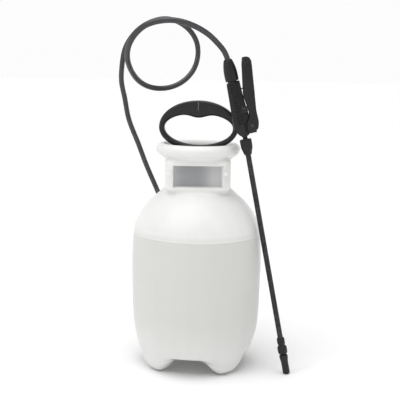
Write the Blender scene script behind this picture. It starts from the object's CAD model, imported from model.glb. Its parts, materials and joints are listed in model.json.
"""A pump sprayer: a milky bottle with a hand pump, its hose, and a hand valve with wand and nozzle."""

import json
import math

import bmesh
import bpy
import numpy as np
from mathutils import Matrix, Vector


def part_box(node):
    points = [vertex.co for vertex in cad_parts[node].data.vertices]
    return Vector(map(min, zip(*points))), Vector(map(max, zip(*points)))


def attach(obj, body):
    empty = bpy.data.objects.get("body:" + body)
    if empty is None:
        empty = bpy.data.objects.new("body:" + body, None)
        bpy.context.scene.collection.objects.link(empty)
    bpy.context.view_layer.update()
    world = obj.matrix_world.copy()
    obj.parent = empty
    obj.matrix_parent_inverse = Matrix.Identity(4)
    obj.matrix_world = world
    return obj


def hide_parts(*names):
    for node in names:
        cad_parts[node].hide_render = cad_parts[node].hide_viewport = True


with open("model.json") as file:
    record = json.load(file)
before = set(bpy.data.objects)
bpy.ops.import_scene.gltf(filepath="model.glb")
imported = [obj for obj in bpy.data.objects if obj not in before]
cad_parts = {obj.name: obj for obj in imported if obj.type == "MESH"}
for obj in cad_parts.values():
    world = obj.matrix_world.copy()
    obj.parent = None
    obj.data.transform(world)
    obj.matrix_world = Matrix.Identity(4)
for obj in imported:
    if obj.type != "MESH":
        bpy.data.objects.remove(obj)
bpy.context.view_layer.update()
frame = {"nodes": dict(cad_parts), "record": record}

MM = 0.001
JOINTS = {joint["name"]: joint for joint in frame["record"]["behaviour"]["joints"]}

# Bottle, in millimetres from its own axis
BODY_R, BODY_H, WALL = 93.0, 258.0, 3.0
FOOT_IN, FOOT_OUT, HEEL_W, HEEL_H = 57.0, 65.0, 17.0, 18.0
ARCH_H, ARCH_R, SCOOP = 28.0, 50.0, 5.0
NECK_TURN = math.radians(7.9)
SIDE = (
    (0.918, 0.101), (0.958, 0.194), (0.986, 0.310), (0.994, 0.419), (1.000, 0.612), (0.989, 0.705),
    (0.954, 0.798), (0.899, 0.845), (0.817, 0.891), (0.702, 0.938), (0.575, 0.978),
)
NECK_HALF, NECK_TOP = 46.0, 300.0
PANEL_HALF, PANEL_Y, PANEL_LOW, PANEL_HIGH = 33.5, 38.8, 264.0, 294.0
RIM_R, LIP_R, RIM_Z = 59.7, 8.2, 322.0
LEDGE_R, LEDGE_Z = 41.5, 298.0
THROAT_R, THREAD_PITCH, THREAD_DEPTH = 35.7, 9.0, 0.7
FIELD_TOP, FIELD_EDGE = 194.0, (50, 66)
MARK_X, MARK_Z = 38.7, 284.0
OUTLET_TURN, OUTLET_TILT, OUTLET_RISE = math.radians(132.5), math.radians(40.0), 0.837

# Ring handle
RING_HALF, RING_UP, RING_DOWN = 56.45, 38.4, 33.0
HOLE_HALF, HOLE_UP, HOLE_DOWN = 49.1, 20.5, 24.3
RING_DEPTH, RING_EDGE, BOSS_H = 13.0, 3.3, 6.0
HAND_SWELL, HAND_SWELL_W = 6.3, 15.0
BORE_R, BOSS_R = 5.3, 9.5
TAB_HALF, TAB_H, TAB_FROM, TAB_TO = 4.0, 2.4, 6.0, 18.5

# Hose route: x and y in shares of the body's radius, height above the rim
HOSE_R, BARB = 3.8, 97.0
HOSE_ROUTE = (
    (-0.796, 0.871, -83), (-0.892, 0.903, -65), (-1, 0.882, -41), (-1.14, 0.849, -6),
    (-1.28, 0.806, 30), (-1.33, 0.763, 59), (-1.37, 0.71, 83), (-1.35, 0.667, 109), (-1.3, 0.645, 131),
    (-1.18, 0.634, 150), (-1.02, 0.634, 164), (-0.828, 0.656, 173), (-0.645, 0.667, 176),
    (-0.43, 0.699, 171), (-0.258, 0.72, 159), (-0.151, 0.731, 142), (-0.129, 0.71, 123),
    (-0.172, 0.645, 105), (-0.28, 0.559, 90), (-0.452, 0.452, 79), (-0.645, 0.323, 75),
    (-0.817, 0.151, 78), (-0.935, -0.043, 87), (-1, -0.247, 101), (-1.01, -0.441, 117),
    (-0.957, -0.591, 133), (-0.849, -0.688, 147), (-0.688, -0.742, 159), (-0.484, -0.763, 165),
    (-0.269, -0.747, 166.3), (-0.081, -0.696, 162.7), (0.082, -0.602, 156.2), (0.212, -0.497, 148),
    (0.319, -0.396, 137.9), (0.403, -0.325, 127.9),
)

# Hand valve, in the grip's own frame
PIVOT, LATCH = (13.0, 16.0), (22.2, 97.0)
GRIP_HALF, WEB_HALF, BARB_X = 8.0, 3.5, -0.4
POCKETS, POCKET_PITCH, POCKET_LOW, POCKET_H = 14, 4.1, 21.0, 2.6
POCKET_BACK, POCKET_FRONT, POCKET_DEPTH = -5.6, 1.2, 1.7
GRIP_OUTLINE = (
    (-3.0, 2.5), (-7.5, 7.0), (-10.2, 11.0), (-11.8, 15.5), (-12.1, 20.0), (-9.2, 77.0), (-6.5, 80.2),
    (2.6, 80.2), (2.6, 12.0), (3.0, 2.5),
)
WEB_OUTLINE = (
    (-2.0, 3.2), (4.5, 3.2), (13.5, 10.8), (17.2, 13.2), (17.6, 16.0), (17.2, 19.0), (12.0, 26.0),
    (9.4, 57.5), (9.0, 79.6), (-2.0, 79.6),
)
LEVER_OUTLINE = (
    (6.0, 5.8), (16.9, 7.8), (20.6, 10.6), (22.9, 19.5), (22.7, 34.9), (25.1, 55.4), (30.3, 101.0),
    (28.8, 106.3), (25.0, 108.8), (19.4, 109.2), (16.9, 100.5), (15.9, 93.8), (11.4, 67.9),
    (9.8, 57.5), (12.8, 34.4), (10.8, 27.0), (6.0, 19.0),
)
LEVER_BACK = (
    (-5.0, 17.4), (9.5, 17.4), (19.5, 20.3), (34.9, 20.1), (55.4, 22.5), (97.0, 27.3), (103.5, 25.4),
    (110.0, 21.0),
)
LEVER_HALF, LEVER_WALL, LEVER_HOLLOW_TOP = 8.6, 2.3, 105.0
SERRATIONS, SERRATION_PITCH, SERRATION_LOW, SERRATION_HALF = 20, 2.05, 57.0, 6.4

# Camera: its place from the foot of the bottle's axis, its lens and its turns
CAMERA_SPOT, LENS, SENSOR = (158.16, -1141.08, 425.82), 73.0206, 36.0
CAMERA_TURN, CAMERA_DIP, CAMERA_ROLL = math.radians(7.7098), math.radians(9.1713), math.radians(0.9296)


# --- places ---------------------------------------------------------------------------------------


def joint_point(name):
    return Vector(JOINTS[name]["pos_m"])


def joint_axis(name):
    return Vector(JOINTS[name]["axis"]).normalized()


def axes_frame(origin, side, back, up):
    """A frame from its origin and its three directions, scaled from millimetres."""
    turn = Matrix((side, back, up)).transposed().to_4x4()
    return Matrix.Translation(origin) @ turn @ Matrix.Scale(MM, 4)


def bottle_place():
    axis = joint_point("pump_turn")
    return Matrix.Translation((axis.x, axis.y, 0)) @ Matrix.Scale(MM, 4)


def grip_place():
    side, back = -joint_axis("valve_push"), -joint_axis("lever_squeeze")
    up = side.cross(back)
    origin = joint_point("lever_squeeze") - (side * PIVOT[0] + up * PIVOT[1]) * MM
    return axes_frame(origin, side, back, up)


def wand_place():
    grip = grip_place()
    up = joint_axis("nozzle_turn")
    back = up.cross(-joint_axis("valve_push")).normalized()
    return axes_frame(grip.translation, back.cross(up), back, up)


def outlet_place():
    """The hose outlet: z out of the shoulder."""
    height = BODY_H * OUTLET_RISE
    side = side_outline(15.0)
    radius = float(np.interp(height, [z for _, z in side], [r for r, _ in side]))
    ahead = Vector((math.cos(OUTLET_TURN), math.sin(OUTLET_TURN), 0.0))
    out = Vector((ahead.x * math.cos(OUTLET_TILT), ahead.y * math.cos(OUTLET_TILT), math.sin(OUTLET_TILT)))
    spot = Vector((radius * ahead.x, radius * ahead.y, height))
    turn = out.to_track_quat("Z", "Y").to_matrix().to_4x4()
    return bottle_place() @ Matrix.Translation(spot) @ turn


def cubic(points):
    """A smooth curve through points: returns its length and a function from distance to place."""
    points = np.array(points, float)
    knots = np.concatenate(([0.0], np.cumsum(np.linalg.norm(np.diff(points, axis=0), axis=1))))
    step = np.diff(knots)
    size = len(points)
    system = np.eye(size)
    right = np.zeros_like(points)
    for i in range(1, size - 1):
        system[i, i - 1 : i + 2] = step[i - 1], 2 * (step[i - 1] + step[i]), step[i]
        slope = (points[i + 1] - points[i]) / step[i] - (points[i] - points[i - 1]) / step[i - 1]
        right[i] = 6 * slope
    bend = np.linalg.solve(system, right)

    def place(distance):
        i = min(int(np.searchsorted(knots, distance, side="right")) - 1, size - 2)
        before, after = distance - knots[i], knots[i + 1] - distance
        curve = (bend[i] * after**3 + bend[i + 1] * before**3) / (6 * step[i])
        start = (points[i] / step[i] - bend[i] * step[i] / 6) * after
        end = (points[i + 1] / step[i] - bend[i + 1] * step[i] / 6) * before
        return curve + start + end

    return knots[-1], place


def even_points(points, spacing):
    """Points at even steps along the smooth curve through a few."""
    length, place = cubic(points)
    count = max(2, round(length / spacing))
    return [tuple(place(length * i / count)) for i in range(count + 1)]


def smoothstep(low, high, value):
    """0 below low, 1 above high, smooth in the middle."""
    share = min(max((value - low) / (high - low), 0.0), 1.0)
    return share * share * (3 - 2 * share)


# --- finishes -------------------------------------------------------------------------------------


class Wire:
    """A shader value that can be added, scaled and shaped like a number."""

    def __init__(self, finish, socket):
        self.finish, self.socket = finish, socket

    def maths(self, operation, *others):
        values = {i: value for i, value in enumerate((self, *others))}
        return self.finish.node("ShaderNodeMath", {"operation": operation}, values)

    def __add__(self, other):
        return self.maths("ADD", other)

    def __sub__(self, other):
        return self.maths("SUBTRACT", other)

    def __rsub__(self, other):
        return self.finish.node("ShaderNodeMath", {"operation": "SUBTRACT"}, {0: other, 1: self})

    def __mul__(self, other):
        return self.maths("MULTIPLY", other)

    __radd__ = __add__
    __rmul__ = __mul__

    def between(self, low, high):
        """0 below low, 1 above high, smooth in the middle."""
        settings = {"interpolation_type": "SMOOTHSTEP", "clamp": True}
        values = {"Value": self, "From Min": low, "From Max": high}
        return self.finish.node("ShaderNodeMapRange", settings, values)


class Finish:
    """One surface finish, made of nodes round a Principled shader."""

    def __init__(self, name):
        self.material = bpy.data.materials.new(name)
        self.material.use_nodes = True
        self.tree = self.material.node_tree
        self.shader = self.tree.nodes["Principled BSDF"]

    def node(self, kind, settings=None, values=None, output=0):
        made = self.tree.nodes.new(kind)
        for key, value in (settings or {}).items():
            setattr(made, key, value)
        for key, value in (values or {}).items():
            self.feed(made.inputs[key], value)
        return Wire(self, made.outputs[output])

    def feed(self, socket, value):
        if isinstance(value, Wire):
            self.tree.links.new(value.socket, socket)
        else:
            socket.default_value = value

    def place(self):
        return self.node("ShaderNodeTexCoord", output=3)

    def part_of(self, vector, axis):
        return self.node("ShaderNodeSeparateXYZ", values={0: vector}, output="XYZ".index(axis))

    def noise(self, vector, scale, detail=3.0, rough=0.5):
        values = {"Vector": vector, "Scale": scale, "Detail": detail, "Roughness": rough}
        return self.node("ShaderNodeTexNoise", values=values)

    def stretched(self, vector, scale):
        return self.node("ShaderNodeMapping", values={"Vector": vector, "Scale": scale})

    def mixed(self, share, first, second):
        settings = {"data_type": "RGBA"}
        return self.node("ShaderNodeMix", settings, {"Factor": share, 6: first, 7: second}, output=2)

    def bump(self, height, depth, strength=1.0, under=None):
        values = {"Height": height, "Distance": depth, "Strength": strength}
        if under is not None:
            values["Normal"] = under
        return self.node("ShaderNodeBump", values=values)

    def shade(self, **values):
        for key, value in values.items():
            self.feed(self.shader.inputs[key.replace("_", " ")], value)
        return self.material


def milky_poly():
    """Natural polyethylene, blow moulded: faintly cloudy, with a skin like fine orange peel."""
    finish = Finish("milky_poly")
    place = finish.place()
    height = finish.part_of(place, "Z")
    side = finish.part_of(place, "X") - joint_point("pump_turn").x
    rear = finish.part_of(place, "Y")
    across = side * math.cos(NECK_TURN) + rear * math.sin(NECK_TURN)
    back = rear * math.cos(NECK_TURN) - side * math.sin(NECK_TURN)
    cloud = finish.noise(place, 9.0, 3.0).between(0.3, 0.75)
    streak = finish.noise(finish.stretched(place, (60.0, 60.0, 4.0)), 1.0, 2.0).between(0.35, 0.7)
    base = finish.mixed(cloud * 0.55, (0.80, 0.80, 0.785, 1), (0.74, 0.745, 0.725, 1))
    base = finish.mixed(streak * 0.18, base, (0.68, 0.69, 0.67, 1))
    facing = (back * back).between(0.03**2, 0.06**2)
    filled = (1 - height.between(0.193, 0.1955)) * height.between(0.02, 0.085)
    soft = (1 - height.between(0.188, 0.212)) * (0.4 + 0.6 * height.between(0.02, 0.09))
    base = finish.mixed(soft * 0.45 + filled * 0.22, base, (0.60, 0.60, 0.575, 1))
    turn = height.between(0.1975, 0.2035) * (1 - height.between(0.2035, 0.2085)) * facing
    line = height.between(0.1942, 0.1954) * (1 - height.between(0.1958, 0.1972)) * facing
    base = finish.mixed(turn * 0.2 + line * 0.3, base, (0.9, 0.9, 0.9, 1))
    neck = height.between(0.2625, 0.2655) * (1 - height.between(0.2925, 0.2955))
    sunk = 1 - (back * back).between(0.0390**2, 0.0402**2)
    flat = neck * sunk * (across * across).between(0.0345**2, 0.0332**2)
    from_darkest = (across + 0.008) * (across + 0.008)
    shadow = flat * (0.55 + 0.45 * from_darkest.between(0.030**2, 0.0))
    base = finish.mixed(shadow, base, (0.32, 0.325, 0.33, 1))
    peel = finish.noise(place, 420.0, 2.0)
    sag = finish.noise(place, 26.0, 2.0)
    lumps = finish.bump(sag, 0.0016, 0.35)
    skin = finish.bump(peel, 0.00012, 0.5, lumps)
    roughness = 0.34 + 0.14 * finish.noise(place, 35.0, 3.0)
    finish.shader.subsurface_method = "RANDOM_WALK"
    return finish.shade(
        Base_Color=base, Roughness=roughness, Normal=skin, Subsurface_Weight=0.6,
        Subsurface_Radius=(1.0, 1.0, 0.95), Subsurface_Scale=0.004, IOR=1.5,
    )


def black_moulding(name, shade, roughness, grain):
    """Black injection-moulded plastic: fine grain, dulled patches, pale scuffs where hands and edges rub."""
    finish = Finish(name)
    place = finish.place()
    patches = finish.noise(place, 60.0, 4.0, 0.6)
    fine = finish.noise(place, grain, 2.0)
    flow = finish.noise(finish.stretched(place, (400.0, 400.0, 60.0)), 1.0, 2.0)
    edges = finish.node("ShaderNodeNewGeometry", output=7).between(0.52, 0.62)
    scuff = edges * finish.noise(place, 260.0, 3.0).between(0.42, 0.62)
    dust = finish.noise(place, 900.0, 2.0).between(0.66, 0.74) * patches.between(0.45, 0.65)
    dark = (shade * 0.85, shade * 0.85, shade * 0.92, 1)
    pale = (shade * 1.2, shade * 1.2, shade * 1.28, 1)
    base = finish.mixed(patches.between(0.3, 0.7), dark, pale)
    base = finish.mixed(scuff * 0.4, base, (0.07, 0.07, 0.073, 1))
    base = finish.mixed(dust * 0.12, base, (0.18, 0.18, 0.175, 1))
    rough = roughness + 0.16 * (patches - 0.5) + 0.1 * scuff
    surface = finish.bump(flow, 0.0003, 0.15)
    surface = finish.bump(fine, 0.00012, 0.55, surface)
    return finish.shade(
        Base_Color=base, Roughness=rough, Normal=surface, IOR=1.46, Specular_IOR_Level=0.42,
    )


def worn_edge():
    """Black plastic stretched pale where the mould closed."""
    finish = Finish("worn_edge")
    grain = finish.noise(finish.place(), 700.0, 3.0)
    base = finish.mixed(grain, (0.16, 0.16, 0.165, 1), (0.34, 0.34, 0.34, 1))
    return finish.shade(Base_Color=base, Roughness=0.5 + 0.2 * grain, Normal=finish.bump(grain, 0.0001, 0.4))


def hose_vinyl():
    """Extruded vinyl: faint lengthwise bloom and rubbed patches."""
    finish = Finish("hose_skin")
    place = finish.place()
    patches = finish.noise(place, 38.0, 4.0, 0.6)
    fine = finish.noise(place, 1500.0, 2.0)
    bloom = finish.noise(place, 160.0, 3.0).between(0.4, 0.75)
    base = finish.mixed(patches.between(0.3, 0.7), (0.028, 0.028, 0.031, 1), (0.042, 0.042, 0.046, 1))
    base = finish.mixed(bloom * 0.25, base, (0.07, 0.07, 0.075, 1))
    rough = 0.26 + 0.16 * patches
    return finish.shade(Base_Color=base, Roughness=rough, Normal=finish.bump(fine, 0.00008, 0.4), IOR=1.52)


def soft_rubber():
    """Dull black rubber, a little dusty."""
    finish = Finish("soft_rubber")
    place = finish.place()
    patches = finish.noise(place, 120.0, 4.0)
    base = finish.mixed(patches.between(0.35, 0.7), (0.016, 0.016, 0.017, 1), (0.034, 0.034, 0.034, 1))
    rough = 0.62 + 0.2 * patches
    return finish.shade(Base_Color=base, Roughness=rough, Normal=finish.bump(patches, 0.0001, 0.4))


def white_moulding():
    """White injection-moulded plastic with duller patches."""
    finish = Finish("white_moulding")
    place = finish.place()
    patches = finish.noise(place, 90.0, 4.0)
    base = finish.mixed(patches.between(0.3, 0.7), (0.78, 0.78, 0.75, 1), (0.68, 0.68, 0.65, 1))
    fine = finish.noise(place, 1200.0, 2.0)
    rough = 0.34 + 0.16 * patches
    return finish.shade(Base_Color=base, Roughness=rough, Normal=finish.bump(fine, 0.0001, 0.3))


def blued_steel():
    """The pivot pin's dark steel."""
    finish = Finish("blued_steel")
    stain = finish.noise(finish.place(), 500.0, 3.0)
    base = finish.mixed(stain, (0.07, 0.07, 0.075, 1), (0.16, 0.16, 0.17, 1))
    surface = finish.bump(stain, 0.0001, 0.3)
    return finish.shade(Base_Color=base, Metallic=1.0, Roughness=0.34 + 0.2 * stain, Normal=surface)


def drawn_steel():
    """Bright steel with fine drawing lines and a few brown stains."""
    finish = Finish("drawn_steel")
    place = finish.place()
    drawn = finish.noise(finish.stretched(place, (900.0, 60.0, 900.0)), 1.0, 3.0)
    stain = finish.noise(place, 300.0, 3.0).between(0.55, 0.75)
    base = finish.mixed(stain * 0.5, (0.62, 0.62, 0.64, 1), (0.34, 0.3, 0.27, 1))
    surface = finish.bump(drawn, 0.00006, 0.4)
    return finish.shade(Base_Color=base, Metallic=1.0, Roughness=0.24 + 0.2 * drawn, Normal=surface)


# --- making pieces --------------------------------------------------------------------------------


def in_scene(name, data):
    made = bpy.data.objects.new(name, data)
    bpy.context.scene.collection.objects.link(made)
    return made


def finished(name, bm, place, finish, body, slot, *stands_for, sharp=38):
    """Puts a shape in its place, smooth but for its sharp edges, and hands it to its body."""
    bmesh.ops.remove_doubles(bm, verts=bm.verts, dist=0.0005)
    bmesh.ops.recalc_face_normals(bm, faces=bm.faces)
    mesh = bpy.data.meshes.new(name)
    bm.to_mesh(mesh)
    bm.free()
    mesh.transform(place)
    mesh.shade_smooth()
    mesh.set_sharp_from_angle(angle=math.radians(sharp))
    piece = in_scene(name, mesh)
    piece.data.materials.append(finish)
    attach(piece, body)
    if stands_for:
        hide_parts(*stands_for)


def put_in(bm, part, place):
    """Adds a separate shape to a larger one, in its place."""
    mesh = bpy.data.meshes.new("part")
    part.to_mesh(mesh)
    part.free()
    mesh.transform(place)
    bm.from_mesh(mesh)
    bpy.data.meshes.remove(mesh)


def chain(bm, points, closed=False):
    """A line of points as vertices and edges."""
    corners = [bm.verts.new(point) for point in points]
    edges = [bm.edges.new(pair) for pair in zip(corners, corners[1:])]
    if closed:
        edges.append(bm.edges.new((corners[-1], corners[0])))
    return corners, edges


def turned_into(bm, outline, sides):
    """Turns an outline of (radius, height) pairs round the z axis."""
    on_axis = outline[0][0] == 0 and outline[-1][0] == 0
    corners, edges = chain(bm, [(radius, 0, height) for radius, height in outline], not on_axis)
    bmesh.ops.spin(
        bm, geom=corners + edges, axis=(0, 0, 1), cent=(0, 0, 0), angle=math.tau, steps=sides,
        use_merge=True,
    )


def softened(outline, width):
    """An outline with its corners cut back, so that they turn in three short steps."""
    points = [Vector((x, z, 0)) for x, z in outline]
    soft = []
    for i, corner in enumerate(points):
        before, after = points[i - 1], points[(i + 1) % len(points)]
        back, ahead = before - corner, after - corner
        straight = back.length < 1e-6 or ahead.length < 1e-6 or abs(back.angle(ahead) - math.pi) < 0.35
        on_axis = abs(corner.x) < 1e-6
        if straight or on_axis:
            soft.append((corner.x, corner.y))
            continue
        cut = min(width, back.length * 0.45, ahead.length * 0.45)
        first, last = corner + back.normalized() * cut, corner + ahead.normalized() * cut
        middle = (first + last + corner * 2) / 4
        soft += [(first.x, first.y), (middle.x, middle.y), (last.x, last.y)]
    return soft


def fluted(bm, count, depth, low, high, least):
    """Presses shallow flutes into the outside of a turned piece between two heights."""
    for vert in bm.verts:
        radius = math.hypot(vert.co.x, vert.co.y)
        if radius < least or not low < vert.co.z < high:
            continue
        ends = min(smoothstep(low, low + 1.2, vert.co.z), 1 - smoothstep(high - 1.2, high, vert.co.z))
        wave = 0.5 - 0.5 * math.cos(count * math.atan2(vert.co.y, vert.co.x))
        share = 1 - depth * ends * wave**2 / radius
        vert.co.x *= share
        vert.co.y *= share


def new_verts(grown):
    """The vertices that an extrusion made."""
    return [part for part in grown["geom"] if isinstance(part, bmesh.types.BMVert)]


def rounded(bm, edges, width, steps):
    bmesh.ops.bevel(
        bm, geom=edges, offset=width, offset_type="OFFSET", segments=steps, profile=0.5,
        affect="EDGES", clamp_overlap=True, material=-1,
    )


def slab(bm, outline, low, high, width=0.0, steps=3):
    """A flat outline in x and z between two values of y, with its rim rounded."""
    face = bm.faces.new([bm.verts.new((x, low, z)) for x, z in outline])
    grown = bmesh.ops.extrude_face_region(bm, geom=[face])
    moved = new_verts(grown)
    bmesh.ops.translate(bm, verts=moved, vec=(0, high - low, 0))
    verts = set(face.verts) | set(moved)
    own = [f for f in bm.faces if all(v in verts for v in f.verts)]
    bmesh.ops.recalc_face_normals(bm, faces=own)
    if width:
        rims = [e for e in bm.edges if e.verts[0] in verts and e.verts[1] in verts
                and abs(e.verts[0].co.y - e.verts[1].co.y) < 1e-6]
        rounded(bm, rims, width, steps)


def rod(bm, start, end, radius, sides=24, taper=None):
    """A round bar between two points."""
    start, end = Vector(start), Vector(end)
    along = end - start
    place = Matrix.Translation((start + end) / 2) @ along.to_track_quat("Z", "Y").to_matrix().to_4x4()
    bmesh.ops.create_cone(
        bm, cap_ends=True, segments=sides, radius1=radius, radius2=radius if taper is None else taper,
        depth=along.length, matrix=place,
    )


def fluted_piece(name, outline, corner, long_edge, cuts, flutes, place, finish, body, node, longest=math.inf):
    """A turned piece whose long edges are cut up, so that flutes can be pressed into its outside."""
    bm = bmesh.new()
    turned_into(bm, softened(outline, corner), 96)
    edges = [e for e in bm.edges if long_edge < abs(e.verts[0].co.z - e.verts[1].co.z) < longest]
    bmesh.ops.subdivide_edges(bm, edges=edges, cuts=cuts)
    fluted(bm, *flutes)
    finished(name, bm, place, finish, body, "grip_poly", node, sharp=50)


# --- bottle ---------------------------------------------------------------------------------------


def side_outline(spacing):
    """The bottle's outer side from the foot to the shoulder, as (radius, height) pairs."""
    heel = [math.radians(turn) for turn in (0, 12, 25, 37, 50, 61, 72)]
    low = [(FOOT_OUT + HEEL_W * math.sin(t), HEEL_H * (1 - math.cos(t))) for t in heel]
    stations = [(FOOT_OUT + HEEL_W, HEEL_H)]
    stations += [(BODY_R * radius, BODY_H * height) for radius, height in SIDE]
    return low + even_points(stations, spacing)


OUTER_SIDE = side_outline(15.0)


def finer(outline, low, high, parts):
    """An outline with more points between two heights."""
    full = []
    for (radius, height), (next_radius, next_height) in zip(outline, outline[1:]):
        count = parts if low < height < high else 1
        for i in range(count):
            share = i / count
            full.append((radius + (next_radius - radius) * share, height + (next_height - height) * share))
    return full + [outline[-1]]


def levels(low, high, count):
    return [low + (high - low) * i / count for i in range(count + 1)]


def foot_share(angle):
    """1 in the middle of a foot, 0 in the arches between the feet."""
    turn = math.degrees(angle) % 90
    return smoothstep(8.0, 41.0, min(turn, 90 - turn))


def bottle(finish):
    """The whole bottle in one skin: feet, arched base, body, squared neck, rolled rim and funnel."""
    outer = [(0.0, ARCH_H), (18.0, ARCH_H), (34.0, ARCH_H), (46.0, ARCH_H), (ARCH_R, ARCH_H - 1.0),
             (52.0, ARCH_H - 5.0), (54.0, 13.0), (55.8, 3.5), (FOOT_IN + 0.6, 0.0)]
    outer += finer(side_outline(3.0), 190.0, 208.0, 5)
    outer += [(51.0, 254.6), (49.2, 256.4)]
    outer += [(48.0, height) for height in levels(258.0, 300.0, 38)]
    outer += [(49.0, 301.6), (50.8, 303.2), (52.6, 304.6)]
    centre_r, centre_z = RIM_R - LIP_R, RIM_Z - LIP_R
    for turn in range(-62, 91, 8):
        angle = math.radians(turn)
        outer.append((centre_r + LIP_R * math.cos(angle), centre_z + LIP_R * math.sin(angle)))
    bowl = ((centre_r, RIM_Z), (centre_r - 3.5, RIM_Z - 1.2), (centre_r - 6.5, RIM_Z - 5.5),
            (LEDGE_R + 1.3, RIM_Z - 13.0), (LEDGE_R + 0.5, LEDGE_Z + 1.5))
    outer += even_points(bowl, 1.8)[1:]
    inner = [(LEDGE_R, LEDGE_Z + 0.3), (LEDGE_R - 0.6, LEDGE_Z), (37.2, LEDGE_Z), (36.7, LEDGE_Z - 0.5)]
    inner += [(THROAT_R, height) for height in levels(LEDGE_Z - 2.0, 268.0, 44)]
    inner += [(36.7, 266.0), (37.0, 264.2), (42.5, 256.0)]
    side = side_outline(9.0)
    path = np.array(side)
    along = np.gradient(path, axis=0)
    along /= np.linalg.norm(along, axis=1)[:, None]
    inside = path + WALL * np.column_stack((-along[:, 1], along[:, 0]))
    inner += [tuple(point) for point in inside[::-1] if point[1] < BODY_H - 7.0]
    inner += [(FOOT_IN + 2.5, WALL), (ARCH_R + 2.0, ARCH_H + WALL), (0.0, ARCH_H + WALL)]
    bm = bmesh.new()
    turned_into(bm, outer + inner, 240)
    for vert in bm.verts:
        shape_bottle(vert)
    bottle_marks(bm)
    finished("bottle", bm, bottle_place(), finish, "tank", "tank_poly", "tank_shell", sharp=50)


def shape_bottle(vert):
    """Squares the neck, threads the throat, arches the base, and steps the field and the panels in."""
    height = vert.co.z
    radius = math.hypot(vert.co.x, vert.co.y)
    if radius < 1.0:
        return
    angle = math.atan2(vert.co.y, vert.co.x)
    turned = angle - NECK_TURN
    target = radius
    if radius > NECK_HALF - 1 and 250.0 < height < 309.0 and not (radius > 58 and height > 306):
        across = abs(math.cos(turned)) ** 6 + abs(math.sin(turned)) ** 6
        square = NECK_HALF * across ** (-1 / 6.0) + max(0.0, radius - 48.0)
        share = smoothstep(253.0, 262.0, height) * (1 - smoothstep(298.0, 306.0, height))
        target = radius + (square - radius) * share
    if abs(radius - THROAT_R) < 0.05 and 268.5 < height < 295.5:
        target = THROAT_R + THREAD_DEPTH * math.cos(math.tau * (height / THREAD_PITCH - angle / math.tau))
    if radius > 80 and 20 < height < 235:
        facing = math.degrees(math.acos(min(1.0, abs(math.sin(turned)))))
        field = (1 - smoothstep(*FIELD_EDGE, facing)) * smoothstep(30, 70, height)
        target -= 0.6 * field * (1 - smoothstep(FIELD_TOP, FIELD_TOP + 1.2, height))
        bead = math.exp(-(((height - (FIELD_TOP + 1.8)) / 1.2) ** 2))
        target += 0.15 * (1 - smoothstep(*FIELD_EDGE, facing)) * bead
    if radius > 58 and 10 < height < 62:
        hollow = SCOOP * (1 - foot_share(angle)) * (1 - smoothstep(ARCH_H - 6, 60, height))
        target -= hollow * smoothstep(58, 80, radius)
    vert.co.x *= target / radius
    vert.co.y *= target / radius
    press_panel(vert, radius)
    floor = ARCH_H + WALL if is_inner(radius, height) else ARCH_H
    if height < floor:
        vert.co.z = height + (floor - height) * (1 - foot_share(angle))


def press_panel(vert, radius):
    """Sinks the flat panels into the neck's front and back."""
    spot = Matrix.Rotation(-NECK_TURN, 3, "Z") @ vert.co
    share = 1 - smoothstep(PANEL_HALF - 0.2, PANEL_HALF + 1.2, abs(spot.x))
    share *= smoothstep(PANEL_LOW - 0.6, PANEL_LOW + 0.9, spot.z)
    share *= 1 - smoothstep(PANEL_HIGH - 0.9, PANEL_HIGH + 0.6, spot.z)
    if radius < NECK_HALF - 1 or share == 0 or abs(spot.y) < PANEL_Y:
        return
    spot.y = math.copysign(abs(spot.y) + (PANEL_Y - abs(spot.y)) * share, spot.y)
    vert.co = Matrix.Rotation(NECK_TURN, 3, "Z") @ spot


def is_inner(radius, height):
    """Whether a point low on the bottle lies on its inner face."""
    if radius > FOOT_OUT + HEEL_W:
        heights, radii = [z for _, z in OUTER_SIDE], [r for r, _ in OUTER_SIDE]
        return radius < float(np.interp(height, heights, radii)) - WALL / 2
    share = max(0.0, (radius - FOOT_OUT) / HEEL_W)
    heel = HEEL_H * (1 - math.sqrt(max(0.0, 1 - share * share)))
    rise = ARCH_H * min(1.0, max(0.0, (FOOT_IN - radius) / (FOOT_IN - ARCH_R)))
    return height > heel + rise + WALL / 2


def bottle_marks(bm):
    """The small round bosses beside the panels."""
    outline = [(0, 0.25), (1.5, 0.25), (1.9, 0.7), (2.4, 0.7), (2.75, 0.3), (2.75, -1.5), (0, -1.5)]
    for x in (-MARK_X, MARK_X):
        for facing in (-1, 1):
            mark = bmesh.new()
            turned_into(mark, softened(outline, 0.15), 28)
            place = Matrix.Rotation(NECK_TURN, 4, "Z") @ Matrix.Translation((x, facing * NECK_HALF, MARK_Z))
            put_in(bm, mark, place @ Matrix.Rotation(-facing * math.pi / 2, 4, "X"))


# --- pump -----------------------------------------------------------------------------------------


def ring_loop(half, up, down, dip, middle, count):
    """An oval in x and z that can dip in the middle of its top."""
    points = []
    for i in range(count):
        turn = math.tau * i / count
        x = half * math.cos(turn)
        rise = math.sin(turn) * (up if math.sin(turn) > 0 else down)
        if math.sin(turn) > 0:
            rise -= dip * math.exp(-((x / HAND_SWELL_W) ** 2))
        points.append((x, middle + rise))
    return points


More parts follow.
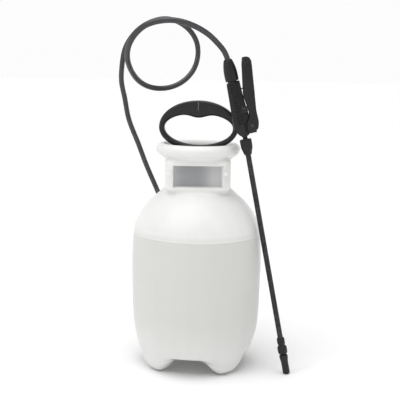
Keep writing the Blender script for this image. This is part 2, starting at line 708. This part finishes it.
def ring_handle(finish):
    """The ring handle: rounded edges, a swelling under the hand, a boss and two locking tabs."""
    low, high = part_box("pump_handle")
    middle = high.z / MM - RING_UP
    count = 160
    bm = bmesh.new()
    loops = []
    for outline in (ring_loop(RING_HALF, RING_UP, RING_DOWN, 0.0, middle, count),
                    ring_loop(HOLE_HALF, HOLE_UP, HOLE_DOWN, HAND_SWELL, middle, count)):
        _, edges = chain(bm, [(x, -RING_DEPTH / 2, z) for x, z in outline], True)
        loops += edges
    flat = bmesh.ops.bridge_loops(bm, edges=loops)["faces"]
    grown = bmesh.ops.extrude_face_region(bm, geom=flat)
    bmesh.ops.translate(bm, verts=new_verts(grown), vec=(0, RING_DEPTH, 0))
    bmesh.ops.recalc_face_normals(bm, faces=bm.faces)
    rims = [e for e in bm.edges if abs(abs(e.verts[0].co.y) - RING_DEPTH / 2) < 1e-4
            and len(e.link_faces) == 2 and e.calc_face_angle(0) > 1.0]
    rounded(bm, rims, RING_EDGE, 6)
    boss, boss_top = low.z / MM, low.z / MM + BOSS_H + 0.5
    turned_into(bm, [(BORE_R, boss), (BOSS_R - 0.3, boss), (BOSS_R, boss + 0.4), (BOSS_R, boss_top),
                     (BORE_R, boss_top)], 48)
    tab = ((-TAB_HALF, boss), (TAB_HALF, boss), (TAB_HALF, boss + TAB_H), (-TAB_HALF, boss + TAB_H))
    slab(bm, tab, TAB_FROM, TAB_TO, 0.4, 2)
    slab(bm, tab, -TAB_TO, -TAB_FROM, 0.4, 2)
    finished("ring_handle", bm, bottle_place(), finish, "handle", "black_poly", "pump_handle")


def mould_line(finish):
    """The pale line that the mould leaves down the middle of the handle's top bar."""
    _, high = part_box("pump_handle")
    top = high.z / MM
    bm = bmesh.new()
    outline = ((-0.3, top - 2.6), (0.3, top - 2.6), (0.25, top - 13.5), (-0.25, top - 13.5))
    slab(bm, outline, -RING_DEPTH / 2 - 0.15, -RING_DEPTH / 2 + 0.3)
    finished("handle_mould_line", bm, bottle_place(), finish, "handle", "black_poly")


# --- hose -----------------------------------------------------------------------------------------


def hose(finish):
    """The hose on its own route, out of the outlet, round and down into the hand valve."""
    to_bottle = bottle_place().inverted()
    first = [to_bottle @ outlet_place() @ Vector((0, 0, height)) for height in (16.0, 22.5)]
    last = [to_bottle @ grip_place() @ Vector((BARB_X, 0, BARB + rise)) for rise in (13.5, 7.0, 0.3)]
    middle = [(BODY_R * x, BODY_R * y, RIM_Z + height) for x, y, height in HOSE_ROUTE]
    route = [bottle_place() @ Vector(point) for point in even_points([*first, *middle, *last], 4.0)]
    curve = bpy.data.curves.new("hose_line", "CURVE")
    curve.dimensions = "3D"
    curve.bevel_depth = HOSE_R * MM
    curve.bevel_resolution = 6
    curve.use_fill_caps = True
    spline = curve.splines.new("POLY")
    spline.points.add(len(route) - 1)
    for knot, point in zip(spline.points, route):
        knot.co = (*point, 1.0)
    spline.use_smooth = True
    line = in_scene("hose_line", curve)
    curve.materials.append(finish)
    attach(line, "tank")
    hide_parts("hose")


# --- hand valve -----------------------------------------------------------------------------------


def grip(finish):
    """The moulded grip: a rounded body with a ladder of ribs down each side, a thin web and a neck."""
    bm = bmesh.new()
    slab(bm, softened(GRIP_OUTLINE, 1.0), -GRIP_HALF, GRIP_HALF, 1.5, 3)
    cuts = [(Vector((x, 0, 0)), Vector((1, 0, 0))) for x in (POCKET_BACK, POCKET_FRONT)]
    for row in range(POCKETS):
        sill = POCKET_LOW + row * POCKET_PITCH
        for height in (sill, sill + POCKET_H):
            cuts.append((Vector((0, 0, height)), Vector((0, 0, 1))))
    for point, normal in cuts:
        geom = list(bm.verts) + list(bm.edges) + list(bm.faces)
        bmesh.ops.bisect_plane(bm, geom=geom, dist=1e-5, plane_co=point, plane_no=normal)
    pockets = []
    for face in bm.faces:
        middle = face.calc_center_median()
        step = (middle.z - POCKET_LOW) % POCKET_PITCH
        row = (middle.z - POCKET_LOW) / POCKET_PITCH
        in_column = abs(face.normal.y) > 0.99 and POCKET_BACK < middle.x < POCKET_FRONT
        if in_column and 0 < step < POCKET_H and 0 < row < POCKETS:
            pockets.append(face)
    bmesh.ops.inset_individual(bm, faces=pockets, thickness=0.35, depth=-POCKET_DEPTH)
    slab(bm, softened(WEB_OUTLINE, 0.8), -WEB_HALF, WEB_HALF, 0.5, 2)
    for facing in (-1, 1):
        y = facing * (GRIP_HALF - 0.1)
        for x in (1.9, -6.2):
            rod(bm, (x, y, 20.0), (x, y, 78.5), 0.45, 12)
    rod(bm, (BARB_X, 0, 77.0), (BARB_X, 0, 92.6), 6.0, 40)
    rod(bm, (8.4, 0, 67.6), (10.9, 0, 67.9), 0.9, 12)
    rod(bm, (0, 0, 38.0), (10.2, 0, 38.0), 5.9, 40)
    finished("grip_moulding", bm, grip_place(), finish, "tank", "grip_poly", "grip_body", sharp=42)


def grip_neck(finish):
    """The neck below the grip, that the wand's nut turns on."""
    bm = bmesh.new()
    outline = [(0, -12.0), (5.7, -12.0), (6.2, -11.4), (6.2, -1.2), (5.9, -0.9), (3.9, -0.9), (3.3, 0.2),
               (3.2, 1.6), (3.5, 3.0), (4.6, 4.6), (4.6, 7.0), (0, 7.0)]
    turned_into(bm, outline, 40)
    finished("grip_neck", bm, wand_place(), finish, "tank", "grip_poly")


def hose_nut(finish):
    """The bullet-shaped nut that holds the hose on the grip."""
    outline = [(6.3, 80.6), (8.7, 80.6), (9.1, 82.0), (9.25, 86.0), (9.2, 92.0), (8.8, 97.0), (7.9, 102.0),
               (6.8, 106.5), (5.7, 109.8), (4.8, 110.6), (4.2, 110.6), (4.2, 93.1), (6.3, 93.1)]
    place = grip_place() @ Matrix.Translation((BARB_X, 0, 0))
    flutes = (12, 0.35, 84.0, 104.0, 6.8)
    fluted_piece("hose_collar", outline, 0.5, 2.5, 4, flutes, place, finish, "tank", "hose_nut")


def lever(finish):
    """The squeeze lever: a channel open towards the grip, ribbed where the fingers lie."""
    bm = bmesh.new()
    slab(bm, softened(LEVER_OUTLINE, 1.2), -LEVER_HALF, LEVER_HALF, 1.1, 3)
    opening = [
        face for face in bm.faces
        if face.normal.x < -0.35 and abs(face.normal.y) < 0.1 and 3.0 < face.calc_center_median().z < 104.0
        or face.normal.z < -0.8 and face.calc_center_median().z < 8.5 and face.calc_center_median().x < 15.5
    ]
    bmesh.ops.inset_region(bm, faces=opening, thickness=1.2, use_even_offset=True)
    grown = bmesh.ops.extrude_face_region(bm, geom=opening)
    moved = new_verts(grown)
    bmesh.ops.delete(bm, geom=opening, context="FACES_ONLY")
    heights, backs = zip(*LEVER_BACK)
    for vert in moved:
        vert.co.x = float(np.interp(vert.co.z, heights, backs))
        vert.co.z = min(vert.co.z, LEVER_HOLLOW_TOP)
        vert.co.y = math.copysign(min(abs(vert.co.y), LEVER_HALF - LEVER_WALL), vert.co.y)
    (low_x, low_z), (high_x, high_z) = LEVER_OUTLINE[5:7]
    for step in range(SERRATIONS):
        height = SERRATION_LOW + step * SERRATION_PITCH
        x = low_x + (high_x - low_x) * (height - low_z) / (high_z - low_z) - 0.15
        rod(bm, (x, -SERRATION_HALF, height), (x, SERRATION_HALF, height), 0.55, 10)
    for facing in (-1, 1):
        y = facing * (LEVER_HALF - 0.05)
        rod(bm, (18.6, y, 104.6), (26.8, y, 95.0), 0.5, 10)
        rod(bm, (27.4, y, 104.0), (18.6, y, 96.2), 0.5, 10)
        rod(bm, (18.4, y, 93.2), (27.0, y, 93.2), 0.45, 10)
        x, z = PIVOT
        rod(bm, (x, y - facing * 0.3, z), (x, y + facing * 0.35, z), 4.2, 32, 3.8)
    finished("squeeze_lever", bm, grip_place(), finish, "lever", "grip_poly", "trigger_lever", sharp=42)


def pin_heads(finish):
    """The pivot pin with its low domed heads."""
    bm = bmesh.new()
    for facing in (-1, 1):
        half = bmesh.new()
        turned_into(half, [(0, 0.75), (1.0, 0.65), (1.7, 0.35), (2.0, 0), (2.0, -8.6), (0, -8.6)], 28)
        place = Matrix.Translation((PIVOT[0], facing * (LEVER_HALF - 0.25), PIVOT[1]))
        put_in(bm, half, place @ Matrix.Rotation(-facing * math.pi / 2, 4, "X"))
    finished("pivot_pin", bm, grip_place(), finish, "tank", "spring_steel", "lever_pin")


def latch(finish):
    """The thumb latch between the lever's cheeks, with three ribs for the thumb."""
    x, z = LATCH
    outline = ((x - 2.6, z + 1.5), (x - 3.4, z - 5.5), (x - 1.4, z - 9.6), (x + 0.8, z - 9.2),
               (x + 2.2, z - 3), (x + 2.5, z + 1.0), (x + 1.2, z + 2.8), (x - 1.2, z + 2.8))
    bm = bmesh.new()
    slab(bm, softened(outline, 0.8), -5.8, 5.8, 0.5, 2)
    for rise in (-4.6, -2.4, -0.2):
        rod(bm, (x - 3.1, -5.0, z + rise), (x - 3.1, 5.0, z + rise), 0.6, 12)
    finished("thumb_latch", bm, grip_place(), finish, "latch", "black_poly", "lock_latch")


# --- wand -----------------------------------------------------------------------------------------


def wand(finish):
    """Wand nut, tube, nozzle adapter and the nozzle's cap, on the wand's own axis."""
    place = wand_place()
    reach = (place.inverted() @ joint_point("nozzle_turn")).z
    tip = reach - 8.0
    nut = [(6.5, -0.7), (7.2, -0.7), (8.0, -1.5), (8.2, -2.8), (8.15, -8.0), (7.95, -12.6), (7.6, -14.4),
           (6.5, -17.8), (5.4, -21.0), (5.0, -22.8), (4.0, -22.8), (4.0, -17.4), (6.5, -17.4)]
    flutes = (14, 0.7, -13.2, -2.2, 7.5)
    fluted_piece("wand_collar", nut, 0.4, 2.5, 3, flutes, place, finish, "tank", "wand_nut")

    adapter = tip + 52.0
    waist = adapter - 10.4
    bm = bmesh.new()
    turned_into(bm, [(2.2, adapter - 14.4), (3.7, adapter - 14.4), (3.7, -14.0), (2.2, -14.0)], 48)
    finished("wand_pipe", bm, place, finish, "tank", "grip_poly", "wand_tube")

    outline = [(4.0, adapter), (4.7, adapter), (5.4, adapter - 1.2), (5.5, adapter - 4.0), (5.3, waist + 1.4),
               (4.7, waist), (4.6, waist - 1.0), (5.9, waist - 1.7), (6.6, waist - 3.2), (6.75, waist - 6.8),
               (6.6, waist - 10.6), (5.9, waist - 12.4), (3.3, waist - 12.6), (3.3, waist - 27.0),
               (1.5, waist - 27.0), (1.5, adapter - 14.7), (4.0, adapter - 14.7)]
    flutes = (12, 0.35, waist - 10.8, waist - 2.8, 6.2)
    fluted_piece(
        "nozzle_collar", outline, 0.4, 2.0, 2, flutes, place, finish, "tank", "nozzle_adapter", longest=8.0,
    )

    mouth = waist - 14.6
    outline = [(4.25, mouth), (5.3, mouth), (5.9, mouth - 0.8), (6.0, mouth - 4.0), (5.6, mouth - 6.0),
               (5.15, mouth - 9.5), (5.0, mouth - 12.0), (5.0, tip + 1.0), (4.4, tip), (2.2, tip),
               (0.7, tip + 2.0), (0.7, tip + 3.2), (2.6, tip + 5.5), (4.25, tip + 7.0)]
    flutes = (10, 0.4, tip + 1.5, mouth - 6.5, 4.6)
    fluted_piece("nozzle_tip", outline, 0.35, 2.0, 3, flutes, place, finish, "nozzle", "nozzle_cap")


def outlet_nut(finish):
    """The hose's nut on the tank's shoulder."""
    outline = [(6.3, 8.6), (8.3, 8.6), (8.8, 10.0), (8.8, 15.0), (6.4, 21.0), (5.0, 22.5), (4.2, 22.5),
               (4.2, 12.6), (6.3, 12.6)]
    flutes = (14, 0.6, 9.2, 18.0, 7.2)
    fluted_piece("outlet_collar", outline, 0.5, 2.0, 3, flutes, outlet_place(), finish, "tank", "outlet_nut")


# --- studio ---------------------------------------------------------------------------------------


def camera():
    """Stands in front and a little to the right, above the rim's height, looking slightly down."""
    data = bpy.data.cameras.new("camera")
    data.sensor_width, data.lens = SENSOR, LENS
    data.clip_start, data.clip_end = 0.01, 50.0
    made = in_scene("camera", data)
    spot = bottle_place() @ Vector(CAMERA_SPOT)
    turn = Matrix.Rotation(CAMERA_TURN, 4, "Z") @ Matrix.Rotation(math.pi / 2 - CAMERA_DIP, 4, "X")
    made.matrix_world = Matrix.Translation(spot) @ turn @ Matrix.Rotation(CAMERA_ROLL, 4, "Z")
    bpy.context.scene.camera = made


def pointed(lamp, direction):
    lamp.rotation_mode = "QUATERNION"
    lamp.rotation_quaternion = direction.to_track_quat("-Z", "Y")


def lamp(name, spot, aim, size, power):
    """A round soft lamp in metres and watts."""
    data = bpy.data.lights.new(name, "AREA")
    data.shape, data.size, data.energy = "DISK", size, power
    made = in_scene(name, data)
    made.location = spot
    pointed(made, Vector(aim) - Vector(spot))


def sky():
    """White air round the floor, greyer overhead."""
    world = bpy.data.worlds.new("studio")
    world.use_nodes = True
    nodes, links = world.node_tree.nodes, world.node_tree.links
    direction = nodes.new("ShaderNodeTexCoord")
    height = nodes.new("ShaderNodeSeparateXYZ")
    strength = nodes.new("ShaderNodeMapRange")
    strength.interpolation_type = "SMOOTHSTEP"
    for name, value in (("From Min", 0.14), ("From Max", 0.34), ("To Min", 0.985), ("To Max", 0.42)):
        strength.inputs[name].default_value = value
    links.new(direction.outputs["Generated"], height.inputs[0])
    links.new(height.outputs["Z"], strength.inputs["Value"])
    links.new(strength.outputs["Result"], nodes["Background"].inputs["Strength"])
    nodes["Background"].inputs["Color"].default_value = (0.995, 0.995, 1.0, 1)
    bpy.context.scene.world = world


def floor():
    """A wide sheet of pale paper."""
    bm = bmesh.new()
    bmesh.ops.create_grid(bm, x_segments=1, y_segments=1, size=30.0)
    mesh = bpy.data.meshes.new("studio_floor")
    bm.to_mesh(mesh)
    bm.free()
    ground = in_scene("studio_floor", mesh)
    finish = Finish("studio_paper")
    rough = 0.9 + 0.1 * finish.noise(finish.place(), 40.0, 3.0)
    paper = finish.shade(Base_Color=(0.9, 0.9, 0.9, 1), Roughness=rough, Specular_IOR_Level=0.0)
    mesh.materials.append(paper)


def studio():
    bpy.context.scene.view_settings.view_transform = "Standard"
    sky()
    floor()
    data = bpy.data.lights.new("soft_top", "SUN")
    data.energy, data.angle = 2.1, math.radians(70)
    pointed(in_scene("soft_top", data), Vector((0.10, 0.16, -1.0)))
    lamp("left_strip", (-1.0, -1.0, 1.3), (0, 0, 0.35), 0.35, 3.2)
    lamp("top_strip", (-0.15, -0.25, 1.25), (0, 0, 0.4), 0.25, 0.6)
    lamp("right_fill", (1.5, -0.9, 0.7), (0, 0, 0.2), 0.8, 1.0)


def main():
    camera()
    hose(hose_vinyl())
    grain = black_moulding("grip_moulded", 0.0085, 0.44, 1500.0)
    smooth = black_moulding("handle_moulded", 0.011, 0.33, 1100.0)
    rubber, white, steel = soft_rubber(), white_moulding(), drawn_steel()
    bottle(milky_poly())
    ring_handle(smooth)
    mould_line(worn_edge())
    grip(grain)
    grip_neck(grain)
    hose_nut(grain)
    lever(grain)
    pin_heads(blued_steel())
    latch(smooth)
    wand(grain)
    outlet_nut(grain)
    by_slot = {"black_poly": smooth, "grip_poly": grain, "seal_rubber": rubber, "white_poly": white,
               "spring_steel": steel, "tank_poly": white, "hose_vinyl": smooth}
    for part in frame["record"]["subparts"]:
        node = frame["nodes"][part["node"]]
        if not node.hide_render:
            node.data.materials.clear()
            node.data.materials.append(by_slot[part["material_slot"]])
    studio()


main()
